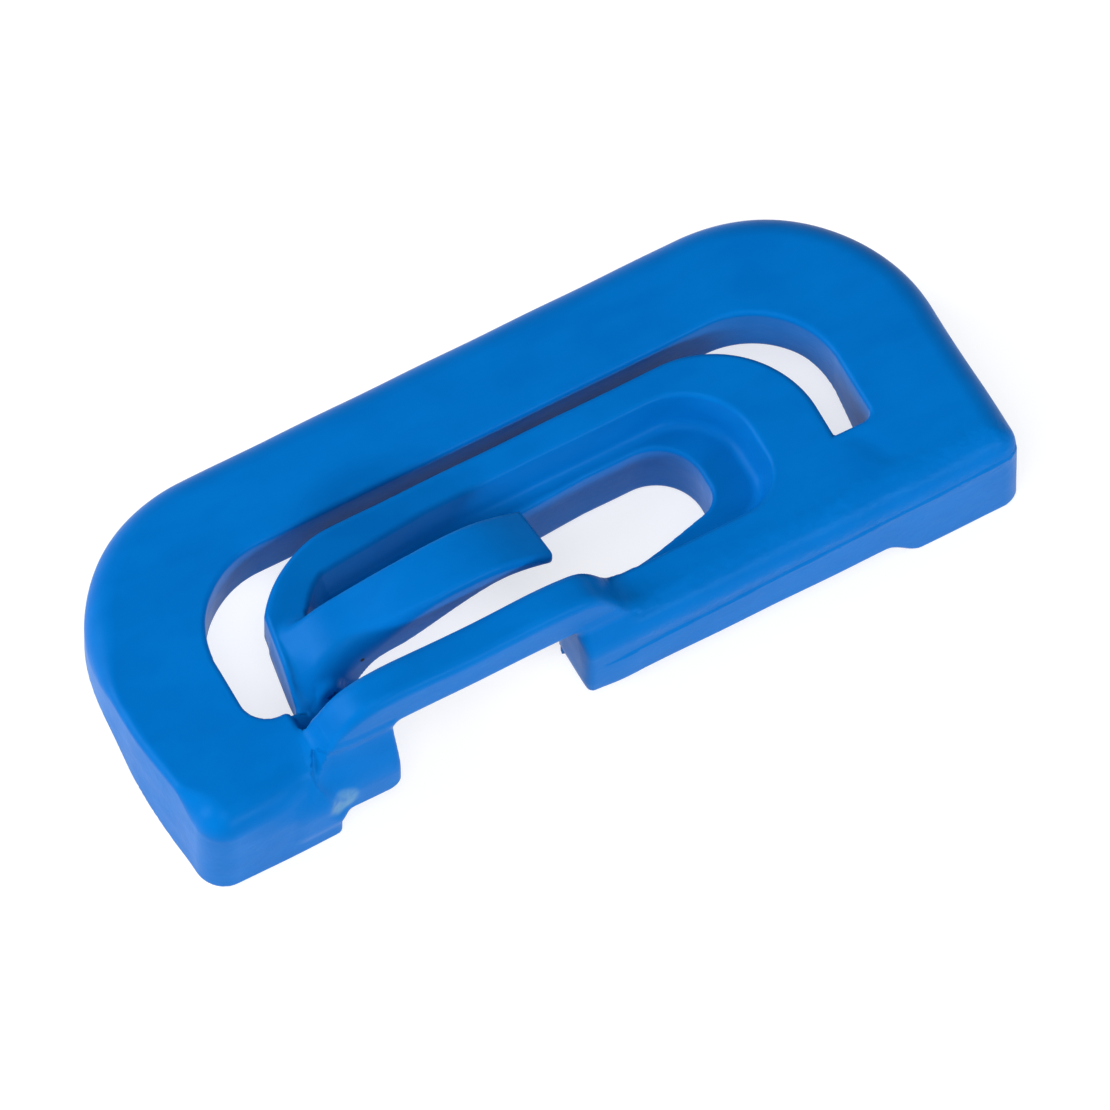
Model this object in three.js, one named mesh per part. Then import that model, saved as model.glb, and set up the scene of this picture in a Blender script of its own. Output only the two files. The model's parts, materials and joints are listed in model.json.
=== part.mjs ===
// A one-piece moulded laundry clip, split at its flexure lines into named members.
// Units are millimetres, +Z is up. +X runs along the long side, +Y from the front to the back rail.
import * as THREE from 'three';

// Driving dimensions
const LENGTH = 50;             // overall, along X
const DEPTH = 19.8;            // overall, front face to back of the rail
const TOP = 7;                 // height of the flat top of the frame
const PLATE_BOTTOM = 1.7;      // underside of the front plate, above the feet
const RAIL_BOTTOM = 3.3;       // underside of the back rail and of the thin part of the legs
const RAIL_WIDTH = 5.8;        // back rail, front to back
const LEG_WIDTH = 5.9;         // side legs, across
const CORNER_OUTER = 9.6;      // outer radius of the two back corners
const CORNER_INNER = 4.6;      // radius of the C-shaped slot at the back corners
const CORNER_STRAIGHT = 2;     // short straight run at both ends of a back corner
const FRONT_FILLET = 2;        // radius along the front top edge
const EDGE_RADIUS = 1.6;       // rounded outer top edge of the back rail
const FOOT_DEPTH = 4.3;        // feet, front to back
const GAP = 0.3;               // clearance between neighbouring members

// Middle loop and its stepped recess
const LOOP_LEFT = -15.7;
const LOOP_RIGHT = 16.4;
const LOOP_BACK = 13.15;
const LOOP_BOTTOM = 3.9;
const LOOP_RADIUS = 5.4;
const LOOP_BAND = 1.75;        // width of the loop's raised rim along the back
const LOOP_FLARE = 0.8;        // how far the loop's left side leans out towards the front
const RECESS_RIGHT = 12.8;
const RECESS_BACK = LOOP_BACK - LOOP_BAND;
const RECESS_RADIUS = 3.6;
const FLEX_LINE = 4.4;         // distance from the front face to where the loop starts to flex
const LEDGE_TOP = 4.8;
const HOLE_RIGHT = 9.6;
const HOLE_BACK = 10.4;
const HOLE_RADIUS = 2.8;
const HOLE_FRONT_CUT = [0.6, 1.6]; // cut across the hole's front right corner, across and along
const LEDGE_LEFT = -10;

// Front plate, bridge bar and its anchor beside the left foot
const PLATE_LEFT = -1.3;
const PLATE_DEPTH = FLEX_LINE - 0.4;
const FOOT_INNER = 16.6;       // inner end of both feet, from the middle
const ANCHOR_RIGHT = -12.7;
const BAR_FRONT = 0.9;
const BAR_BACK = 3.1;
const BAR_BOTTOM = 7.3;
const BAR_TOP = 9.9;
const BAR_LEFT = -16.8;
const BAR_LEFT_RADIUS = 2.6;   // round left end of the bar, seen from the front
const BAR_RAMP = [[-0.2, 0], [0.9, 0.4], [1.7, 1.6], [2.7, 2.6]]; // (x, drop below the bar's top)
const ANCHOR_TOP = BAR_BOTTOM - GAP;
const ANCHOR_DEPTH = 3.4;
const ANCHOR_FILLET = 1;

// Arched clamping finger
const FINGER_FRONT = 5;
const FINGER_BACK = 8.3;
const FINGER_ROOT = -14.6;
const FINGER_TIP = -1;
const FINGER_THICKNESS = 1.5;
const FINGER_ARCH = [[0, 2.3], [0.3, 0.9], [0.58, 0.02], [0.82, 0.6]]; // (share of the span, drop below the top)
const FINGER_STEPS = 16;
const FINGER_ARCH_TOP = 10.4;
const FINGER_TIP_TOP = 8.6;
const FINGER_ROOT_BOTTOM = 3.9;
const FINGER_ROOT_TOP = 7.7;
const FINGER_ROOT_LENGTH = 1.5;

const ARC_STEPS = 10;
const HALF = LENGTH / 2;
const INNER_BACK = DEPTH - RAIL_WIDTH;
const INNER_SIDE = HALF - LEG_WIDTH;
const CORNER_START_X = HALF - CORNER_OUTER - CORNER_STRAIGHT;
const CORNER_START_Y = DEPTH - CORNER_OUTER - CORNER_STRAIGHT;

const BLUE = 0x0173c4;

function plastic() {
  return new THREE.MeshStandardMaterial({ color: BLUE, roughness: 0.4, metalness: 0 });
}

// Everything hangs in a group whose y = 0 is the front face.
const clip = new THREE.Group();
const body = new THREE.Group();
body.position.y = -DEPTH / 2;
clip.add(body);

function extrude(shape, length) {
  return new THREE.ExtrudeGeometry(shape, { depth: length, bevelEnabled: false, curveSegments: ARC_STEPS });
}

function add(name, geometry) {
  const mesh = new THREE.Mesh(geometry, plastic());
  mesh.name = name;
  body.add(mesh);
  return mesh;
}

// A plan outline (x, y) raised from one height to another.
function addPlan(name, shape, bottom, top) {
  add(name, extrude(shape, top - bottom)).position.z = bottom;
}

// A profile drawn in (y, z) and run along X from one place to another.
function addAlongX(name, profile, from, to) {
  const mesh = add(name, extrude(profile, to - from));
  mesh.rotation.set(Math.PI / 2, Math.PI / 2, 0);
  mesh.position.x = from;
}

// A profile drawn in (x, z) and run along Y from front to back.
function addAlongY(name, profile, front, back) {
  const mesh = add(name, extrude(profile, back - front));
  mesh.rotation.x = Math.PI / 2;
  mesh.position.y = back;
}

function polygon(points) {
  return new THREE.Shape(points.map(([u, v]) => new THREE.Vector2(u, v)));
}

// Back rail: a straight bar with rounded top and bottom outer edges.
function railProfile() {
  const shape = new THREE.Shape();
  const r = EDGE_RADIUS;
  shape.moveTo(INNER_BACK, RAIL_BOTTOM);
  shape.lineTo(DEPTH - r, RAIL_BOTTOM);
  shape.absarc(DEPTH - r, RAIL_BOTTOM + r, r, -Math.PI / 2, 0, false);
  shape.absarc(DEPTH - r, TOP - r, r, 0, Math.PI / 2, false);
  shape.lineTo(INNER_BACK, TOP);
  return shape;
}

// Back corner: a quarter of a ring with short straight ends.
function cornerOutline(side) {
  const shape = new THREE.Shape();
  const outerX = side * (HALF - CORNER_OUTER);
  const outerY = DEPTH - CORNER_OUTER;
  const innerX = side * (INNER_SIDE - CORNER_INNER);
  const innerY = INNER_BACK - CORNER_INNER;
  const sideAngle = side > 0 ? 0 : Math.PI;
  shape.moveTo(side * CORNER_START_X, INNER_BACK);
  shape.lineTo(side * CORNER_START_X, DEPTH);
  shape.absarc(outerX, outerY, CORNER_OUTER, Math.PI / 2, sideAngle, side > 0);
  shape.lineTo(side * HALF, CORNER_START_Y);
  shape.lineTo(side * INNER_SIDE, CORNER_START_Y);
  shape.absarc(innerX, innerY, CORNER_INNER, sideAngle, Math.PI / 2, side < 0);
  return shape;
}

// Leg: its underside slopes up from the foot to the thin back part.
function legProfile() {
  const front = FOOT_DEPTH + GAP;
  const back = CORNER_START_Y - GAP;
  return polygon([[front, PLATE_BOTTOM], [back, RAIL_BOTTOM], [back, TOP], [front, TOP]]);
}

// A block against the front face whose top front edge is rounded.
function frontBlockProfile(depth, bottom, top, radius) {
  const shape = new THREE.Shape();
  shape.moveTo(0, bottom);
  shape.lineTo(depth, bottom);
  shape.lineTo(depth, top);
  shape.lineTo(radius, top);
  shape.absarc(radius, top - radius, radius, Math.PI / 2, Math.PI, false);
  return shape;
}

// Bridge bar seen from the front: raised over the notch, with a ramp down to the front plate.
function barProfile() {
  const shape = new THREE.Shape();
  const r = BAR_LEFT_RADIUS;
  shape.moveTo(BAR_LEFT, BAR_BOTTOM);
  for (const [x, drop] of [...BAR_RAMP].reverse()) {
    shape.lineTo(x, BAR_TOP - drop);
  }
  shape.lineTo(BAR_LEFT + r, BAR_TOP);
  shape.absarc(BAR_LEFT + r, BAR_TOP - r, r, Math.PI / 2, Math.PI, false);
  return shape;
}

// Rounded right-hand end shared by the loop, its recess and its hole.
function roundedEnd(path, right, back, radius, front) {
  path.lineTo(right - radius, back);
  path.absarc(right - radius, back - radius, radius, Math.PI / 2, 0, true);
  path.lineTo(right, front);
}

function loopRightOutline() {
  const start = RECESS_RIGHT - RECESS_RADIUS;
  const shape = new THREE.Shape();
  shape.moveTo(start, RECESS_BACK);
  shape.lineTo(start, LOOP_BACK);
  roundedEnd(shape, LOOP_RIGHT, LOOP_BACK, LOOP_RADIUS, FLEX_LINE);
  shape.lineTo(RECESS_RIGHT, FLEX_LINE);
  shape.lineTo(RECESS_RIGHT, RECESS_BACK - RECESS_RADIUS);
  shape.absarc(start, RECESS_BACK - RECESS_RADIUS, RECESS_RADIUS, 0, Math.PI / 2, false);
  return shape;
}

function loopLeftOutline() {
  const startX = LEDGE_LEFT - GAP;
  const innerX = FINGER_ROOT - GAP;
  const innerRadius = RECESS_BACK - FINGER_BACK - GAP;
  const centreX = LOOP_LEFT + LOOP_RADIUS;
  const centreY = LOOP_BACK - LOOP_RADIUS;
  const shape = new THREE.Shape();
  shape.moveTo(startX, LOOP_BACK);
  shape.absarc(centreX, centreY, LOOP_RADIUS, Math.PI / 2, Math.PI, false);
  shape.lineTo(LOOP_LEFT - LOOP_FLARE, FLEX_LINE);
  shape.lineTo(innerX, FLEX_LINE);
  shape.lineTo(innerX, FINGER_BACK + GAP);
  shape.absarc(innerX + innerRadius + LOOP_FLARE, FINGER_BACK + GAP, innerRadius, Math.PI, Math.PI / 2, true);
  shape.lineTo(startX, RECESS_BACK);
  return shape;
}

// Ledge below the rim: the lower jaw that the cloth is pinched against.
function ledgeOutline() {
  const back = RECESS_BACK - GAP;
  const right = RECESS_RIGHT - GAP;
  const shape = new THREE.Shape();
  shape.moveTo(LEDGE_LEFT, HOLE_BACK);
  shape.lineTo(LEDGE_LEFT, back);
  roundedEnd(shape, right, back, RECESS_RADIUS - GAP, FLEX_LINE);
  shape.lineTo(HOLE_RIGHT - HOLE_FRONT_CUT[0], FLEX_LINE);
  shape.lineTo(HOLE_RIGHT, FLEX_LINE + HOLE_FRONT_CUT[1]);
  shape.lineTo(HOLE_RIGHT, HOLE_BACK - HOLE_RADIUS);
  shape.absarc(HOLE_RIGHT - HOLE_RADIUS, HOLE_BACK - HOLE_RADIUS, HOLE_RADIUS, 0, Math.PI / 2, false);
  return shape;
}

// Arched leaf: a strip of even thickness below a curve that runs to the tip.
function fingerProfile() {
  const start = FINGER_ROOT + FINGER_ROOT_LENGTH + GAP;
  const span = FINGER_TIP - start;
  const top = FINGER_ARCH.map(([share, drop]) => new THREE.Vector2(start + share * span, FINGER_ARCH_TOP - drop));
  top.push(new THREE.Vector2(FINGER_TIP, FINGER_TIP_TOP));
  const upper = new THREE.SplineCurve(top).getPoints(FINGER_STEPS);
  const lower = upper.map((p) => new THREE.Vector2(p.x, p.y - FINGER_THICKNESS)).reverse();
  return new THREE.Shape([...upper, ...lower]);
}

addAlongX('back_rail', railProfile(), -CORNER_START_X + GAP, CORNER_START_X - GAP);
for (const [label, side] of [['left', -1], ['right', 1]]) {
  const innerX = side * INNER_SIDE;
  const outerX = side * HALF;
  const footX = side * FOOT_INNER;
  addPlan(`${label}_corner`, cornerOutline(side), RAIL_BOTTOM, TOP);
  addAlongX(`${label}_leg`, legProfile(), Math.min(innerX, outerX), Math.max(innerX, outerX));
  const foot = frontBlockProfile(FOOT_DEPTH, 0, TOP, FRONT_FILLET);
  addAlongX(`${label}_foot`, foot, Math.min(footX, outerX), Math.max(footX, outerX));
}
const plate = frontBlockProfile(PLATE_DEPTH, PLATE_BOTTOM, TOP, FRONT_FILLET);
addAlongX('front_plate', plate, PLATE_LEFT, FOOT_INNER - GAP);
const anchor = frontBlockProfile(ANCHOR_DEPTH, PLATE_BOTTOM, ANCHOR_TOP, ANCHOR_FILLET);
addAlongX('bar_anchor', anchor, -FOOT_INNER + GAP, ANCHOR_RIGHT);
addAlongY('bridge_bar', barProfile(), BAR_FRONT, BAR_BACK);

const rimBack = polygon([[LEDGE_LEFT, RECESS_BACK], [RECESS_RIGHT - RECESS_RADIUS - GAP, RECESS_BACK],
  [RECESS_RIGHT - RECESS_RADIUS - GAP, LOOP_BACK], [LEDGE_LEFT, LOOP_BACK]]);
addPlan('loop_back', rimBack, LOOP_BOTTOM, TOP);
addPlan('loop_right_bend', loopRightOutline(), LOOP_BOTTOM, TOP);
addPlan('loop_left_bend', loopLeftOutline(), LOOP_BOTTOM, TOP);
addPlan('jaw_ledge', ledgeOutline(), 0, LEDGE_TOP);

const rootEnd = FINGER_ROOT + FINGER_ROOT_LENGTH;
const root = polygon([[FINGER_ROOT, FINGER_ROOT_BOTTOM], [rootEnd, FINGER_ROOT_BOTTOM],
  [rootEnd, FINGER_ROOT_TOP], [FINGER_ROOT, TOP]]);
addAlongY('finger_root', root, FINGER_FRONT, FINGER_BACK);
addAlongY('clamp_finger', fingerProfile(), FINGER_FRONT, FINGER_BACK);

export default clip;
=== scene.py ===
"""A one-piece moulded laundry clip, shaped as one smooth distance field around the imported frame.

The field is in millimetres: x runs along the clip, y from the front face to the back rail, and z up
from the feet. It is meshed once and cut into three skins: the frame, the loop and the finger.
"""

import json
import math

import bpy
import numpy as np
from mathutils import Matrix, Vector


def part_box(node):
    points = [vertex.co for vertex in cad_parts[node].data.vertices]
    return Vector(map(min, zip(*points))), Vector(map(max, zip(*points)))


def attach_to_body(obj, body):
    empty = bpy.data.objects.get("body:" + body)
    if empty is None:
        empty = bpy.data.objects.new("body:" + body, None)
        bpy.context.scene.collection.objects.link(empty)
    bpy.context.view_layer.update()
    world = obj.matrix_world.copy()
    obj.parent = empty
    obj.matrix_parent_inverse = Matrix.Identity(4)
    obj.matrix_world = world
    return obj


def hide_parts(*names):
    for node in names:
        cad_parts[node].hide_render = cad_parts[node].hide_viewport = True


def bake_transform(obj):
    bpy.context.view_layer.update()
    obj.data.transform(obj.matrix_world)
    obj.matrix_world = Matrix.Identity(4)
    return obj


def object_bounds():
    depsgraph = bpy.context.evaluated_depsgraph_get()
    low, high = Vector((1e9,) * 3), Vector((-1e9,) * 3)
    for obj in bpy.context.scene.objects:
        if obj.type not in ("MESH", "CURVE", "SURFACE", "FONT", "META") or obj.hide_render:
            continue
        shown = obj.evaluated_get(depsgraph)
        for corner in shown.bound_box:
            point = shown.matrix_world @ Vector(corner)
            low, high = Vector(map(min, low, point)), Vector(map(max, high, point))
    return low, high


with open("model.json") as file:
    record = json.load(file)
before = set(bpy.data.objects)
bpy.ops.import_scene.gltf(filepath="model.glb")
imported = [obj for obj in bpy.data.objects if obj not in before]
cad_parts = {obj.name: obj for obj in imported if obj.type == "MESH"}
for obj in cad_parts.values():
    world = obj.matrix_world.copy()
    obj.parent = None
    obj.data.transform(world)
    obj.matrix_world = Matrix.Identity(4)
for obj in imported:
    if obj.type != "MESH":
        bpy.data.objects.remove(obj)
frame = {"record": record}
cad_low, cad_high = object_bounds()

MM = 0.001
FRONT_Y = cad_low.y                                # the front face in the row frame, in metres
ORIGIN = np.array([0.0, FRONT_Y / MM, 0.0])        # the field's origin in the row frame, in mm

# ------------------------------------------------------------------ sizes read from the frame


def node_box(node):
    """Lowest and highest corner of a CAD node, in the field's millimetres."""
    low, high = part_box(node)
    return np.array(low) / MM - ORIGIN, np.array(high) / MM - ORIGIN


RAIL_LOW, RAIL_HIGH = node_box("back_rail")
FOOT_LOW, FOOT_HIGH = node_box("right_foot")
LEG_LOW = node_box("right_leg")[0]
PLATE_LOW = node_box("front_plate")[0]
ANCHOR_HIGH = node_box("bar_anchor")[1]
BAR_LOW, BAR_HIGH = node_box("bridge_bar")
LOOP_LOW, LOOP_HIGH = node_box("loop_back")
BEND_LOW, BEND_HIGH = node_box("loop_right_bend")
LEDGE_LOW, LEDGE_HIGH = node_box("jaw_ledge")
FINGER_LOW, FINGER_HIGH = node_box("clamp_finger")

GAP = 0.3                        # clearance that the CAD leaves between neighbouring members
HALF = FOOT_HIGH[0]
DEPTH = RAIL_HIGH[1]
TOP = RAIL_HIGH[2]
RAIL_BOTTOM = RAIL_LOW[2]
SLOT_FRONT = BEND_LOW[1]
SLOT_BACK = RAIL_LOW[1]
SLOT_SIDE = LEG_LOW[0]
PLATE_BOTTOM = PLATE_LOW[2]
PLATE_LEFT = PLATE_LOW[0]
FOOT_INNER = FOOT_LOW[0]
LOOP_RIGHT = BEND_HIGH[0]
LOOP_BACK = LOOP_HIGH[1]
LOOP_BOTTOM = LOOP_LOW[2]
RECESS_RIGHT = LEDGE_HIGH[0] + GAP
RECESS_BACK = LOOP_LOW[1]
LEDGE_TOP = LEDGE_HIGH[2]
LEDGE_WIDTH = 2.9                # width of the step around the hole, right of it
BAR_UNDER = BAR_LOW[2] - 0.25
FEET_SHIFT = -0.45               # puts both feet's inner ends a little to the right of the CAD's
VALLEY_LEFT = -17.0              # where the left foot's top falls into the valley behind the bar

# ------------------------------------------------------------------ distance-field tools


def meet(a, b, radius):
    """Intersection whose convex edge is rounded."""
    u = a + radius
    v = b + radius
    return np.minimum(np.maximum(u, v), 0) + np.hypot(np.maximum(u, 0), np.maximum(v, 0)) - radius


def join(a, b, radius):
    """Union whose concave edge is filled by a fillet."""
    u = np.maximum(radius - a, 0)
    v = np.maximum(radius - b, 0)
    return np.maximum(radius, np.minimum(a, b)) - np.hypot(u, v)


def box_2d(x, y, low, high, radii):
    """Distance to a flat box; radii are low-low, high-low, high-high and low-high corners."""
    px = x - (low[0] + high[0]) / 2
    py = y - (low[1] + high[1]) / 2
    near = np.where(px < 0, radii[0], radii[1])
    far = np.where(px < 0, radii[3], radii[2])
    r = np.where(py < 0, near, far)
    qx = np.abs(px) - (high[0] - low[0]) / 2 + r
    qy = np.abs(py) - (high[1] - low[1]) / 2 + r
    return np.minimum(np.maximum(qx, qy), 0) + np.hypot(np.maximum(qx, 0), np.maximum(qy, 0)) - r


def ramp(value, start, end):
    """Smooth step from 0 at start to 1 at end."""
    t = np.clip((value - start) / (end - start), 0, 1)
    return t * t * (3 - 2 * t)


def hill(x, y, centre, radii):
    """A smooth round bump of height 1."""
    return np.exp(-((x - centre[0]) / radii[0]) ** 2 - ((y - centre[1]) / radii[1]) ** 2)


def smooth_curve(x, stations):
    """A natural cubic spline through (place, height) stations, held level outside them."""
    xs, ys = np.array(stations, float).T
    h = np.diff(xs)
    count = len(xs)
    matrix = np.eye(count)
    right = np.zeros(count)
    for i in range(1, count - 1):
        matrix[i, i - 1:i + 2] = h[i - 1], 2 * (h[i - 1] + h[i]), h[i]
        right[i] = 6 * ((ys[i + 1] - ys[i]) / h[i] - (ys[i] - ys[i - 1]) / h[i - 1])
    m = np.linalg.solve(matrix, right)
    xc = np.clip(x, xs[0], xs[-1])
    i = np.clip(np.searchsorted(xs, xc) - 1, 0, count - 2)
    a = xs[i + 1] - xc
    b = xc - xs[i]
    curved = (m[i] * a ** 3 + m[i + 1] * b ** 3) / (6 * h[i])
    return curved + (ys[i] / h[i] - m[i] * h[i] / 6) * a + (ys[i + 1] / h[i] - m[i + 1] * h[i] / 6) * b


# ------------------------------------------------------------------ members of the moulding

SLOT_RADII = (1.6, 0.6, 5.2, 5.4)
OUTER_RADII = (1.7, 1.2, 10.2, 9.5)


def slot_outline(x, y):
    """Outer outline of the C-shaped slot between the frame and the loop."""
    right_shift = 0.45 * ramp(x, -5, 5) * ramp(-y, -9, -6)    # its right end stops further back
    low = (-SLOT_SIDE, SLOT_FRONT + 0.1)
    high = (SLOT_SIDE - 0.35, SLOT_BACK)
    return box_2d(x, y - right_shift, low, high, SLOT_RADII)


def frame_member(x, y, z):
    """Back rail, corners, legs, feet and the strip along the front."""
    left_tuck = 0.6 * ramp(-x, 14, 22) * (1 - ramp(y, 1, 8))
    right_flare = 0.15 * ramp(x, 16, 24) * (1 - ramp(y, 3, 9))
    front_swell = (0.1 + 0.2 * ramp(-x, 8, 20)) * (1 - ramp(y, 1, 6))
    outer = box_2d(x - left_tuck - right_flare, y + front_swell, (-HALF, 0), (HALF, DEPTH), OUTER_RADII)
    behind_feet = ramp(y, 3.0, 12.0)
    middle = x + FEET_SHIFT
    between_feet = 1 - ramp(np.abs(middle), FOOT_INNER - 0.3, FOOT_INNER + 0.2 + 1.7 * ramp(x, -5, 5))
    front_low = PLATE_BOTTOM * between_feet
    low = RAIL_BOTTOM * behind_feet + front_low * (1 - behind_feet)
    flat_side = ramp(-x, HALF - 5, HALF - 2) * (1 - ramp(y, 9.0, 13.5)) * ramp(y, 1.5, 3.5)
    edge = 1.65 - 1.15 * flat_side
    solid = meet(outer, z - TOP, edge)
    solid = np.maximum(solid, meet(outer, low - z, 0.3))
    return meet(solid, -slot_outline(x, y), 0.3)


def front_gap(x, y, z):
    """Open part of the front strip, from the left foot to the plate's left end."""
    left = VALLEY_LEFT + 0.75 * (1 - ramp(z, 1.6, 3.0))
    return box_2d(x, y, (left, -5), (PLATE_LEFT, SLOT_FRONT + 0.2), (0.1, 0.1, 0.1, 0.1))


def loop_outline(x, y):
    """Outer outline of the middle loop; its left side leans out towards the front."""
    outline = box_2d(x, y, (-18.5, -3), (LOOP_RIGHT, LOOP_BACK), (0.1, 0.1, 6.2, 1.0))
    slope = 0.27
    side = (-16.2 - slope * (9 - y) - x) / math.hypot(1, slope)
    return meet(outline, side, 5.0)


def loop_member(x, y, z):
    """The flexing loop before its recess and hole are cut."""
    front = 2.2 + 2.1 * ramp(-x, 0, 12)
    outline = np.maximum(loop_outline(x, y), front - y)
    thin = np.maximum(ramp(y, 4.4, 6.4), ramp(-x, 8, 12))
    low = PLATE_BOTTOM + (LOOP_BOTTOM - PLATE_BOTTOM) * thin
    drop = 1.5 * (1 - ramp(y, 4.0, 7.4)) * ramp(-x, 12.6, 14.6)
    return np.maximum(meet(outline, z - TOP + drop, 0.4), meet(outline, low - z, 0.5))


def ledge_member(x, y, z):
    """The lower jaw that hangs below the loop."""
    high = (RECESS_RIGHT - 0.2, RECESS_BACK - GAP)
    outline = box_2d(x, y, (LEDGE_LOW[0] - 1, 3.2), high, (1.0, 1.5, 3.6, 2.5))
    return np.maximum(meet(outline, -z, 0.7), z - LEDGE_TOP - 0.4)


def recess(x, y, z):
    """Stepped recess with leaning walls, down to the ledge."""
    outline = box_2d(x, y, (-14.0, 3.1), (RECESS_RIGHT - 0.15, RECESS_BACK), (0.8, 2.6, 4.2, 4.6))
    back_left = (y - 11.65 - 0.085 * (x + 2)) / math.hypot(1, 0.085)
    outline = np.maximum(outline, back_left)
    lean = 0.28
    wall = (outline + lean * (TOP - z)) / math.hypot(1, lean)
    return meet(wall, LEDGE_TOP - z, 0.5)


def hole(x, y):
    """Outline of the through hole; its front edge leans back towards the right."""
    high = (RECESS_RIGHT - 0.3 - LEDGE_WIDTH, 10.05)
    outline = box_2d(x, y, (-13.5, 3.45), high, (0.5, 1.6, 2.8, 1.6))
    back_left = (y - 9.95 - 0.05 * (x - 2)) / math.hypot(1, 0.05)
    slope = 0.235
    front = (3.6 + slope * (x - 2) - y) / math.hypot(1, slope)
    outline = np.maximum(outline, back_left)
    return meet(outline, np.where(x > -4, front, -5.0), 1.0)


BAR_CREST = (
    (-18.2, 5.2), (-17.2, 6.6), (-16.2, 8.2), (-15.2, 9.4), (-14.0, 10.05), (-10, 10.2),
    (-5, 10.25), (-1.2, 10.2), (-0.2, 9.85), (0.7, 8.8), (1.6, 7.4), (2.6, 6.4),
)


def bar(x, y, z):
    """Raised bridge bar, falling to the plate on the right and to the foot on the left."""
    over = z - smooth_curve(x, BAR_CREST)
    section = box_2d(y, over, (BAR_LOW[1], -9), (BAR_HIGH[1], 0), (0.1, 0.1, 0.55, 0.6))
    under = box_2d(y, z, (BAR_LOW[1], BAR_UNDER), (BAR_HIGH[1], 20), (0.6, 0.5, 0.1, 0.1))
    ends = np.maximum(-17.9 - x, x - 2.6)
    return np.maximum(np.maximum(section, under), ends)


def post(x, y, z, left, right, inset, radii):
    """Block that carries one end of the bar; its front leans back as it rises."""
    block = box_2d(x, z, (left, PLATE_BOTTOM + inset), (right, BAR_UNDER + 0.6), radii)
    block = np.maximum(block, z - smooth_curve(x, BAR_CREST) + 0.35)
    front = inset + (BAR_LOW[1] + 0.05 - inset) * ramp(z, 3.4, 7.6) - y
    return meet(block, np.maximum(front, y - BAR_HIGH[1] + 0.2), 0.3)


FINGER_TOP = (
    (-16.4, 4.3), (-15.8, 5.5), (-15.2, 6.9), (-14.4, 7.9), (-12, 8.95), (-9, 9.95),
    (-6, 10.35), (-3.5, 10.1), (-0.8, 8.85),
)
FINGER_THICKNESS = (
    (-15.6, 6.0), (-14.2, 5.0), (-13.4, 4.3), (-12.7, 3.6), (-11.8, 2.75), (-10, 2.8),
    (-7, 2.45), (-4, 1.5), (-1, 1.05),
)


def finger(x, y, z):
    """Arched leaf, thick at its root and free at its tip."""
    top = smooth_curve(x, FINGER_TOP)
    thickness = smooth_curve(x, FINGER_THICKNESS)
    crown = 0.12 * ((y - 6.4) / 1.7) ** 2
    under = np.maximum(top - thickness - z, LOOP_BOTTOM - z)
    front = FINGER_LOW[1] - 0.25 * ramp(-x, 11.5, 15) - y
    tip = x + 0.6 + 0.1 * (y - 5)
    slope = 1.25
    over = (z - top + crown) / slope
    back = y - FINGER_HIGH[1] - 0.3 * ramp(-x, 7, 13.5)
    rear = np.maximum(np.maximum(back, loop_outline(x, y) + 0.4), -16.3 - x)
    sharp = meet(meet(rear, tip, 0.2), over, 0.3)
    front_radius = 0.35 + 1.1 * (1 - ramp(x, -14.5, -7))
    body = meet(sharp, front, front_radius)
    return meet(body, under / slope, 0.25)


def stem(x, y, z):
    """Low web with a valley on top; it ties the finger's root and the loop to the left foot."""
    foot_web = box_2d(x, y, (VALLEY_LEFT - 1.0, 2.4), (-12.7, SLOT_FRONT + 0.2), (0.8, 0.5, 0.1, 0.1))
    root_box = box_2d(x, y, (-17.6, 3.0), (-12.7, 6.2), (0.1, 0.5, 0.5, 0.1))
    root_web = np.maximum(root_box, loop_outline(x, y) + 0.5)
    height = 5.3 + 0.6 * ramp(-x, 15.5, 17.2) + 0.25 * np.abs(y - 3.9)
    return np.maximum(meet(np.minimum(foot_web, root_web), z - height, 0.5), LOOP_BOTTOM + 0.3 - z)


def relief(x, y, z):
    """Sinks, swells and the parting line; positive values take material away."""
    dimple = 0.6 * hill(x, y, (-17.6, 0.0), (1.3, 1.6)) * ramp(z, 3.4, 6.0)
    shoulder = 0.35 * hill(x, y, (-18.8, 0.0), (2.6, 1.6)) * ramp(z, 4.0, 6.5)
    line = 17.3 - 0.45 * (y - 4.6)
    stretch = (1 - ramp(np.abs(y - 3.3), 0.8, 1.6)) * ramp(z, 6, 6.8)
    groove = 0.09 * np.exp(-((x - line) / 0.75) ** 2) * stretch
    waves = 0.02 * np.sin(0.55 * x + 0.8 * np.sin(0.5 * y)) * np.sin(0.7 * y + 0.4 * x)
    seam = 4.3 + 0.046 * x
    lip = 0.10 * ramp(seam - z, -0.07, 0.07) * (1 - ramp(y, 0.2, 0.6)) * ramp(x, -1, 1)
    return dimple + shoulder + groove + waves - lip


def clip_field(x, y, z):
    """Signed distance to the whole moulding, negative inside."""
    flat = np.minimum(frame_member(x, y, z), loop_member(x, y, z))
    flat = join(flat, ledge_member(x, y, z), 0.3)
    flat = meet(flat, -recess(x, y, z), 0.25)
    opening = hole(x, y)
    flat = meet(flat, -opening, 0.3)
    flat = np.maximum(flat, meet(-opening, -z, 0.7))
    flat = meet(flat, -front_gap(x, y, z), 0.4)
    left_post = post(x, y, z, -18.8, ANCHOR_HIGH[0] + 0.1, 0.0, (0.3, 0.8, 0.2, 0.2))
    right_post = post(x, y, z, PLATE_LEFT + 0.25, 1.6, 0.35, (0.8, 0.1, 0.1, 0.2))
    posts = np.minimum(left_post, right_post)
    raised = join(bar(x, y, z), posts, 0.5)
    low = join(flat, stem(x, y, z), 0.6)
    whole = join(low, raised, 0.8)
    whole = join(whole, finger(x, y, z), 0.35 + 0.55 * ramp(-x, 12.4, 14.4))
    return whole + relief(x, y, z)


# ------------------------------------------------------------------ meshing

PITCH = 0.17
PAD = 0.5


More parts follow.
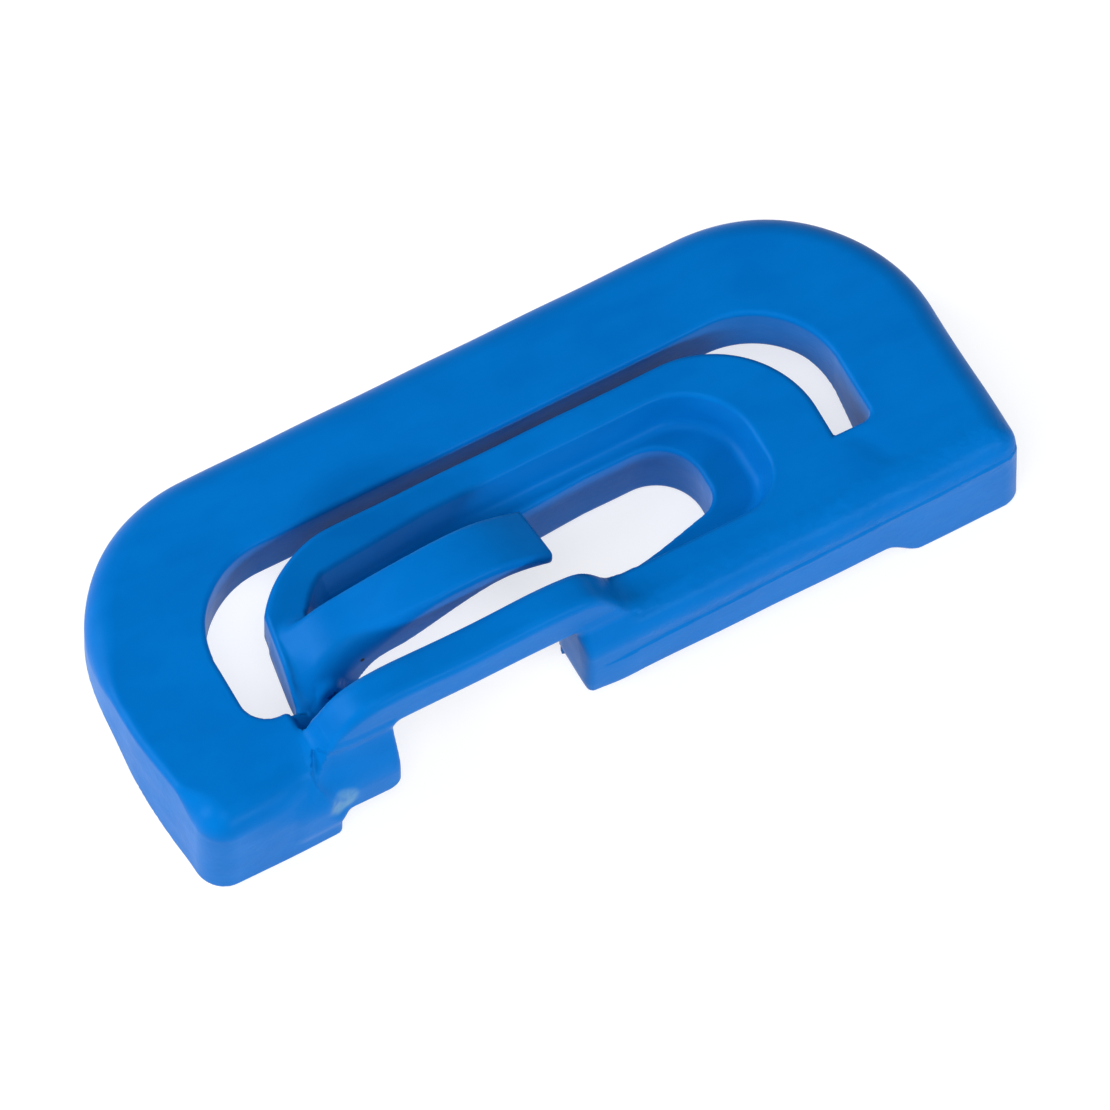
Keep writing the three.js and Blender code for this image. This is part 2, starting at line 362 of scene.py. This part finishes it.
def grid_axes():
    low = np.array(cad_low) / MM - ORIGIN - PAD
    high = np.array(cad_high) / MM - ORIGIN + PAD
    return [np.arange(low[k], high[k] + PITCH, PITCH) for k in range(3)]


def sample_field(axes):
    """The field on the grid, computed in slabs to keep memory small."""
    y, z = np.meshgrid(axes[1], axes[2], indexing="ij")
    slabs = []
    for part in np.array_split(axes[0], 12):
        x = part[:, None, None] + 0 * y
        slabs.append(clip_field(x, y + 0 * x, z + 0 * x))
    return np.concatenate(slabs)


def grid_crossings(values, axis):
    """Lower end and share along the edge of every grid edge that the surface crosses."""
    count = values.shape[axis]
    low = np.take(values, range(count - 1), axis)
    high = np.take(values, range(1, count), axis)
    index = np.argwhere((low < 0) != (high < 0))
    a = low[tuple(index.T)]
    b = high[tuple(index.T)]
    return index, a / (a - b), a < 0


CORNERS = ((-1, -1), (0, -1), (0, 0), (-1, 0))


def surface_net(values, axes):
    """Quads of the zero surface, with one vertex in every grid cell that it passes through."""
    shape = values.shape
    sums = np.zeros((values.size, 3))
    counts = np.zeros(values.size)
    quads = []
    for axis in range(3):
        index, share, inside_first = grid_crossings(values, axis)
        point = index.astype(float)
        point[:, axis] += share
        b, c = (axis + 1) % 3, (axis + 2) % 3
        ring = []
        for step_b, step_c in CORNERS:
            cell = index.copy()
            cell[:, b] += step_b
            cell[:, c] += step_c
            flat = np.ravel_multi_index(tuple(cell.T), shape)
            ring.append(flat)
            counts += np.bincount(flat, minlength=values.size)
            for k in range(3):
                sums[:, k] += np.bincount(flat, point[:, k], values.size)
        ring = np.stack(ring, 1)
        ring[~inside_first] = ring[~inside_first][:, ::-1]
        quads.append(ring)
    used = np.flatnonzero(counts)
    number = np.full(values.size, -1)
    number[used] = np.arange(len(used))
    start = np.array([axis[0] for axis in axes])
    points = start + sums[used] / counts[used, None] * PITCH
    return points, number[np.concatenate(quads)]


def field_gradient(points):
    step = 0.02
    columns = []
    for k in range(3):
        shift = np.zeros(3)
        shift[k] = step
        columns.append((clip_field(*(points + shift).T) - clip_field(*(points - shift).T)) / (2 * step))
    return np.stack(columns, 1)


def settle(points):
    """Moves the vertices onto the surface itself, and returns them with their unit normals."""
    for _ in range(3):
        slope = field_gradient(points)
        size = np.maximum((slope ** 2).sum(1), 0.2)
        step = clip_field(*points.T) / size
        move = slope * np.clip(step, -0.5 * PITCH, 0.5 * PITCH)[:, None]
        points = points - move
    slope = field_gradient(points)
    return points, slope / np.linalg.norm(slope, axis=1)[:, None]


# ------------------------------------------------------------------ cutting into skins

FLEX_START = 4.6                 # the loop starts to bend here, measured from the front face
FINGER_CUT = -12.9               # the finger's skin starts here


def owner_of(centres):
    """0 frame, 1 loop or 2 finger, for the middle of every face."""
    x, y, z = centres.T
    loop = (loop_outline(x, y) < 0.42) & (y > FLEX_START)
    leaf = (x > FINGER_CUT) & (x < 0.3) & (y > 4.1) & (y < 9.2) & (z > 5.6)
    near_leaf = np.abs(finger(x, y, z)) < 0.25
    return np.where(leaf & near_leaf, 2, np.where(loop, 1, 0))


def open_loops(faces):
    """Closed chains of vertices along the open edges of a set of quads."""
    edges = np.concatenate([faces[:, [k, (k + 1) % 4]] for k in range(4)])
    there = {tuple(edge) for edge in edges.tolist()}
    following = {}
    for a, b in sorted(there):
        if (b, a) not in there:
            following.setdefault(b, []).append(a)
    chains = []
    while following:
        first = min(following)
        chain = [first]
        current = first
        while current in following:
            options = following[current]
            step = options.pop()
            if not options:
                del following[current]
            if step == first:
                break
            chain.append(step)
            current = step
        chains.append(chain)
    return chains


CAP_DEPTH = 0.3                  # how far the middle of a closed cut end sits inside the skin


def make_skin(name, points, normals, faces, inward):
    """One mesh piece; its hidden cut ends are closed, so that it is a solid."""
    used, local = np.unique(faces, return_inverse=True)
    local = local.reshape(faces.shape)
    verts = points[used].tolist()
    polygons = local.tolist()
    skin_faces = len(polygons)
    for chain in open_loops(local):
        centre = points[used][chain].mean(0) + np.array(inward) * CAP_DEPTH
        verts.append(centre.tolist())
        middle = len(verts) - 1
        pairs = zip(chain, chain[1:] + chain[:1])
        polygons.extend([a, b, middle] for a, b in pairs)
    mesh = bpy.data.meshes.new(name)
    mesh.from_pydata([tuple((np.array(v) + ORIGIN) * MM) for v in verts], [], polygons)
    mesh.update()
    mesh.shade_smooth()
    corner_normals = np.zeros((len(mesh.loops), 3))
    corner_normals[:skin_faces * 4] = normals[used][local.reshape(-1)]
    mesh.normals_split_custom_set(corner_normals.tolist())
    piece = bpy.data.objects.new(name, mesh)
    bpy.context.scene.collection.objects.link(piece)
    return piece


# ------------------------------------------------------------------ material


def add_node(tree, kind, inputs=(), **settings):
    """A shader node; inputs are (socket, value or output socket) pairs."""
    made = tree.nodes.new(kind)
    for key, value in settings.items():
        setattr(made, key, value)
    for socket, value in inputs:
        if isinstance(value, bpy.types.NodeSocket):
            tree.links.new(value, made.inputs[socket])
        else:
            made.inputs[socket].default_value = value
    return made


def calc(tree, operation, *values):
    made = add_node(tree, "ShaderNodeMath", list(enumerate(values)), operation=operation)
    return made.outputs[0]


def band(tree, value, start, end):
    """0 before start and 1 after end, smooth between; start may be the larger one."""
    pairs = [("Value", value), ("From Min", start), ("From Max", end)]
    made = add_node(tree, "ShaderNodeMapRange", pairs, interpolation_type="SMOOTHSTEP")
    return made.outputs["Result"]


def noise(tree, place, scale, detail=2.0, stretch=None):
    if stretch:
        pairs = [("Vector", place), ("Scale", stretch)]
        place = add_node(tree, "ShaderNodeMapping", pairs).outputs[0]
    pairs = [("Vector", place), ("Scale", scale), ("Detail", detail)]
    return add_node(tree, "ShaderNodeTexNoise", pairs).outputs["Fac"]


def spot(tree, place, centre, radius, soft):
    """1 inside a ball around a point of the field, 0 outside."""
    away = add_node(tree, "ShaderNodeVectorMath", [(0, place), (1, centre)], operation="DISTANCE")
    return band(tree, away.outputs["Value"], radius + soft, radius)


def mix_colour(tree, share, a, b):
    made = tree.nodes.new("ShaderNodeMix")
    made.data_type = "RGBA"
    for index, value in ((0, share), (6, a), (7, b)):
        if isinstance(value, bpy.types.NodeSocket):
            tree.links.new(value, made.inputs[index])
        else:
            made.inputs[index].default_value = value
    return made.outputs[2]


DEEP_BLUE = (0.0001, 0.105, 0.375, 1)
BRIGHT_BLUE = (0.0002, 0.120, 0.415, 1)
GATE_WHITE = (0.08, 0.22, 0.40, 1)
SPECK = (0.004, 0.008, 0.015, 1)


def blue_plastic():
    """Satin moulded polypropylene, its marks placed in the field's millimetres."""
    material = bpy.data.materials.new("blue_plastic_moulded")
    material.use_nodes = True
    tree = material.node_tree
    shader = tree.nodes["Principled BSDF"]
    coords = add_node(tree, "ShaderNodeTexCoord").outputs["Object"]
    pairs = [("Vector", coords), ("Scale", (1 / MM,) * 3), ("Location", tuple(-ORIGIN))]
    place = add_node(tree, "ShaderNodeMapping", pairs).outputs[0]
    split = add_node(tree, "ShaderNodeSeparateXYZ", [(0, place)]).outputs
    x, y, z = split[0], split[1], split[2]

    cloudy = band(tree, noise(tree, place, 0.16, 3.0), 0.35, 0.65)
    flow = band(tree, noise(tree, place, 0.9, 2.0, (0.35, 1, 1)), 0.3, 0.7)
    tint = calc(tree, "ADD", calc(tree, "MULTIPLY", cloudy, 0.6), calc(tree, "MULTIPLY", flow, 0.4))
    colour = mix_colour(tree, tint, DEEP_BLUE, BRIGHT_BLUE)
    gate = spot(tree, place, (-16.2, 0.0, 3.3), 0.7, 0.45)
    flakes = band(tree, noise(tree, place, 1.3, 2.0), 0.15, 0.75)
    colour = mix_colour(tree, calc(tree, "MULTIPLY", gate, flakes), colour, GATE_WHITE)
    colour = mix_colour(tree, spot(tree, place, (-12.3, 5.0, 7.5), 0.10, 0.06), colour, SPECK)
    tree.links.new(colour, shader.inputs["Base Color"])

    fillet = calc(tree, "MULTIPLY", band(tree, y, 2.4, 1.2), band(tree, z, 4.4, 5.4))
    fillet = calc(tree, "MULTIPLY", fillet, band(tree, x, 0.5, 3.0))
    grain = noise(tree, place, 3.2, 3.0)
    orange = noise(tree, place, 0.75, 1.0)
    speckle = calc(tree, "MULTIPLY", fillet, noise(tree, place, 1.7, 4.0))
    rough_patch = calc(tree, "MULTIPLY", speckle, 0.08)
    fine = calc(tree, "MULTIPLY", grain, 0.012)
    broad = calc(tree, "MULTIPLY", orange, 0.02)
    height = calc(tree, "ADD", fine, broad)
    height = calc(tree, "ADD", height, rough_patch)
    bump = add_node(tree, "ShaderNodeBump", [("Height", height), ("Distance", MM), ("Strength", 0.8)])
    tree.links.new(bump.outputs[0], shader.inputs["Normal"])
    roughness = calc(tree, "ADD", calc(tree, "MULTIPLY", noise(tree, place, 0.6, 3.0), 0.18), 0.27)
    tree.links.new(roughness, shader.inputs["Roughness"])
    shader.inputs["IOR"].default_value = 1.5
    shader.inputs["Specular IOR Level"].default_value = 0.07
    shader.inputs["Specular Tint"].default_value = (0.2, 0.5, 1.0, 1)
    return material


# ------------------------------------------------------------------ stage


def flat_material(name, colour, glow):
    material = bpy.data.materials.new(name)
    material.use_nodes = True
    shader = material.node_tree.nodes["Principled BSDF"]
    shader.inputs["Base Color"].default_value = colour
    shader.inputs["Roughness"].default_value = 0.9
    shader.inputs["Emission Color"].default_value = (1, 1, 1, 1)
    shader.inputs["Emission Strength"].default_value = glow
    return material


def add_floor():
    size = 3.0
    mesh = bpy.data.meshes.new("floor")
    corners = [(-size, -size, 0), (size, -size, 0), (size, size, 0), (-size, size, 0)]
    mesh.from_pydata(corners, [], [(0, 1, 2, 3)])
    mesh.materials.append(flat_material("floor_white", (0.40, 0.40, 0.40, 1), 0.66))
    floor = bpy.data.objects.new("floor", mesh)
    bpy.context.scene.collection.objects.link(floor)


def add_world():
    """Pale surroundings, brighter near the horizon than overhead."""
    world = bpy.data.worlds.new("studio")
    bpy.context.scene.world = world
    world.use_nodes = True
    tree = world.node_tree
    direction = add_node(tree, "ShaderNodeTexCoord").outputs["Generated"]
    up = add_node(tree, "ShaderNodeSeparateXYZ", [(0, direction)]).outputs[2]
    level = band(tree, up, 0.9, 0.1)
    strength = calc(tree, "ADD", calc(tree, "MULTIPLY", level, 0.33), 0.12)
    background = tree.nodes["Background"]
    background.inputs["Color"].default_value = (0.97, 0.985, 1, 1)
    tree.links.new(strength, background.inputs["Strength"])


def add_softbox(name, place, target, size, power):
    light = bpy.data.lights.new(name, "AREA")
    light.shape = "RECTANGLE"
    light.size, light.size_y = size
    light.energy = power
    lamp = bpy.data.objects.new(name, light)
    lamp.location = place
    lamp.rotation_euler = (Vector(target) - Vector(place)).to_track_quat("-Z", "Y").to_euler()
    bpy.context.scene.collection.objects.link(lamp)


LIT_POINT = (0, 0, 0.004)
SOFTBOXES = (                    # name, place and size in metres, power in watts
    ("key_left", (-0.42, 0.22, 0.25), (0.34, 0.34), 3.6),
    ("front_right", (0.11, -0.45, 0.20), (0.25, 0.05), 1.8),
    ("near_camera", (-0.14, -0.25, 0.56), (0.35, 0.35), 1.9),
)

AZIMUTH = math.radians(-28.8)
ELEVATION = math.radians(63)
LOOK_AT = Vector((0.00068, FRONT_Y + 0.00733, 0.0035))
DISTANCE = 2.4                   # long enough for a nearly flat perspective
PIXELS_PER_METRE = 18730
FRAME_PIXELS = 1110


def add_camera():
    camera = bpy.data.cameras.new("camera")
    camera.sensor_width = 36
    camera.lens = 36 * PIXELS_PER_METRE * DISTANCE / FRAME_PIXELS
    camera.clip_start = 0.01
    eye = bpy.data.objects.new("camera", camera)
    level = math.cos(ELEVATION)
    back = Vector((math.sin(AZIMUTH) * level, -math.cos(AZIMUTH) * level, math.sin(ELEVATION)))
    eye.location = LOOK_AT + back * DISTANCE
    eye.rotation_euler = (-back).to_track_quat("-Z", "Y").to_euler()
    bpy.context.scene.collection.objects.link(eye)
    bpy.context.scene.camera = eye
    bpy.context.scene.view_settings.view_transform = "Standard"


# ------------------------------------------------------------------ build


SKINS = (("frame", (0, -1, 0)), ("loop", (0, 1, 0)), ("finger", (1, 0, 0)))


def build_skins():
    """The frame, loop and finger skins, which share the vertices along their cuts."""
    axes = grid_axes()
    points, quads = surface_net(sample_field(axes), axes)
    points, normals = settle(points)
    owner = owner_of(points[quads].mean(1))
    plastic = blue_plastic()
    skins = {}
    for index, (body, inward) in enumerate(SKINS):
        skin = make_skin(body + "_skin", points, normals, quads[owner == index], inward)
        skin.data.materials.append(plastic)
        skins[body] = skin
    return skins


def attach(skins):
    """The frame skin rides on the frame body; the loop and finger skins only get their transforms baked
    in.
    """
    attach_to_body(skins["frame"], "frame")
    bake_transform(skins["loop"])
    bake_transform(skins["finger"])
    for body, nodes in frame["record"]["behaviour"]["bodies"].items():
        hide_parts(*nodes)


attach(build_skins())
add_floor()
add_world()
for name, place, size, power in SOFTBOXES:
    add_softbox(name, place, LIT_POINT, size, power)
add_camera()
